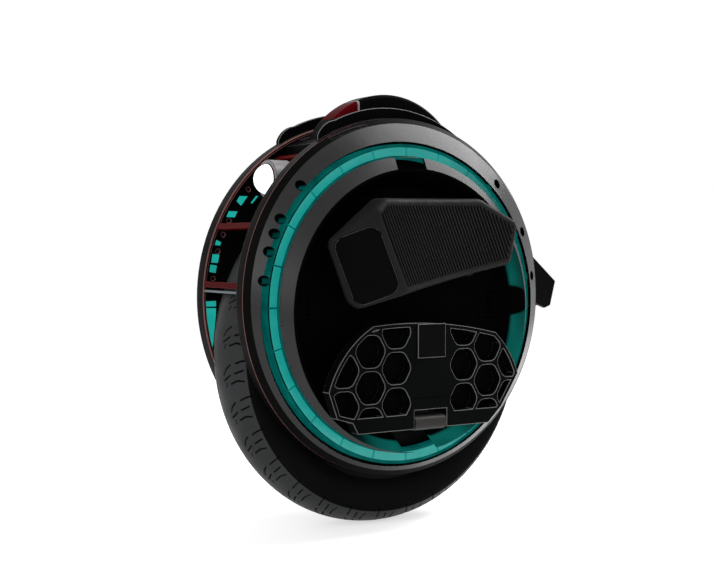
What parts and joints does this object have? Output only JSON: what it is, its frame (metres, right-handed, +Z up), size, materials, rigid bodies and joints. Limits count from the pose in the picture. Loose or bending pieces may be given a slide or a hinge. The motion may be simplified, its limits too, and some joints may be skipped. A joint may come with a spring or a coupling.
{
  "type": "electric unicycle",
  "caption": "Single-wheel ride-on with a hub motor, a lit ring round each side, folding honeycomb pedals, padded leg rests, a front cage with headlight and a rear mudguard.",
  "frame": {"origin": "point of the tyre that touches the ground, under the middle of the axle", "axes": "+X forward (towards the headlight), +Y to the rider's left along the axle, +Z up"},
  "size_m": [0.4871, 0.2586, 0.528],
  "materials": {
    "tyre": "matte",
    "alloy": "satin",
    "black_alloy": "satin black",
    "steel": "satin",
    "copper": "varnished wire",
    "matte_black": "fine grain",
    "gloss_black": "gloss",
    "smoke_clear": "smoky clear plastic",
    "teal_channel": "tinted",
    "teal_light": "lit from behind",
    "lamp_lens": "frosted",
    "tail_lens": "pale lens",
    "dark_red": "satin",
    "pad_foam": "soft skin",
    "black_rubber": "matte"
  },
  "bodies": {
    "frame": {"axle": "steel", "axle_nuts": "steel", "stator_core": "steel", "stator_windings": "copper", "side_frame_left": "alloy", "side_frame_right": "alloy", "battery_left": "matte_black", "battery_right": "matte_black", "shell_left": "matte_black", "shell_right": "matte_black", "ring_cover_left": "smoke_clear", "ring_cover_right": "smoke_clear", "led_channel_left": "teal_channel", "led_channel_right": "teal_channel", "led_strip_left": "teal_light", "led_strip_right": "teal_light", "ring_screws": "steel", "side_panel_left": "matte_black", "side_panel_right": "matte_black", "leg_pad_left": "pad_foam", "leg_pad_right": "pad_foam", "pad_ribs_left": "black_rubber", "pad_ribs_right": "black_rubber", "pad_cap_left": "matte_black", "pad_cap_right": "matte_black", "pedal_hanger_left": "alloy", "pedal_hanger_right": "alloy", "pedal_pin_left": "steel", "pedal_pin_right": "steel", "front_bars": "dark_red", "headlight_housing": "alloy", "headlight_lens": "lamp_lens", "control_board": "matte_black", "top_deck": "matte_black", "charge_port": "matte_black", "wing_left": "gloss_black", "wing_right": "gloss_black", "handle": "gloss_black", "handle_grip": "black_rubber", "rear_mudguard": "matte_black", "tail_light": "tail_lens"},
    "wheel": {"tyre": "tyre", "rim": "alloy", "valve_stem": "black_rubber", "rotor_magnets": "steel", "motor_cover_left": "alloy", "motor_cover_right": "alloy", "cover_bolts": "steel", "hub_bearing_left": "steel", "hub_bearing_right": "steel"},
    "pedal_left": {"pedal_left": "black_alloy", "pedal_grip_left": "black_rubber", "pedal_catch_left": "black_rubber"},
    "pedal_right": {"pedal_right": "black_alloy", "pedal_grip_right": "black_rubber", "pedal_catch_right": "black_rubber"},
    "power_button": {"power_button": "gloss_black"},
    "lift_switch": {"lift_switch": "matte_black"},
    "charge_cap": {"charge_cap": "black_rubber"}
  },
  "joints": [
    {"name": "wheel_spin", "type": "hinge", "parent": "frame", "child": "wheel", "pos_m": [0, 0, 0.216], "axis": [0, 1, 0], "continuous": true},
    {"name": "pedal_left_fold", "type": "hinge", "parent": "frame", "child": "pedal_left", "pos_m": [-0.006, 0.105, 0.1339], "axis": [-1, 0, 0], "range_deg": [0, 90]},
    {"name": "pedal_right_fold", "type": "hinge", "parent": "frame", "child": "pedal_right", "pos_m": [-0.006, -0.105, 0.1339], "axis": [1, 0, 0], "range_deg": [0, 90]},
    {"name": "power_button_press", "type": "slide", "parent": "frame", "child": "power_button", "axis": [-0.3827, 0, -0.9239], "range_m": [0, 0.0012], "stiffness_N_per_m": 800, "springref_m": -0.0005},
    {"name": "lift_switch_squeeze", "type": "slide", "parent": "frame", "child": "lift_switch", "axis": [0, 0, 1], "range_m": [0, 0.002], "stiffness_N_per_m": 800, "springref_m": -0.0005},
    {"name": "charge_cap_flip", "type": "hinge", "parent": "frame", "child": "charge_cap", "pos_m": [-0.0898, 0.03, 0.4538], "axis": [0, -1, 0], "range_deg": [0, 85]}
  ]
}
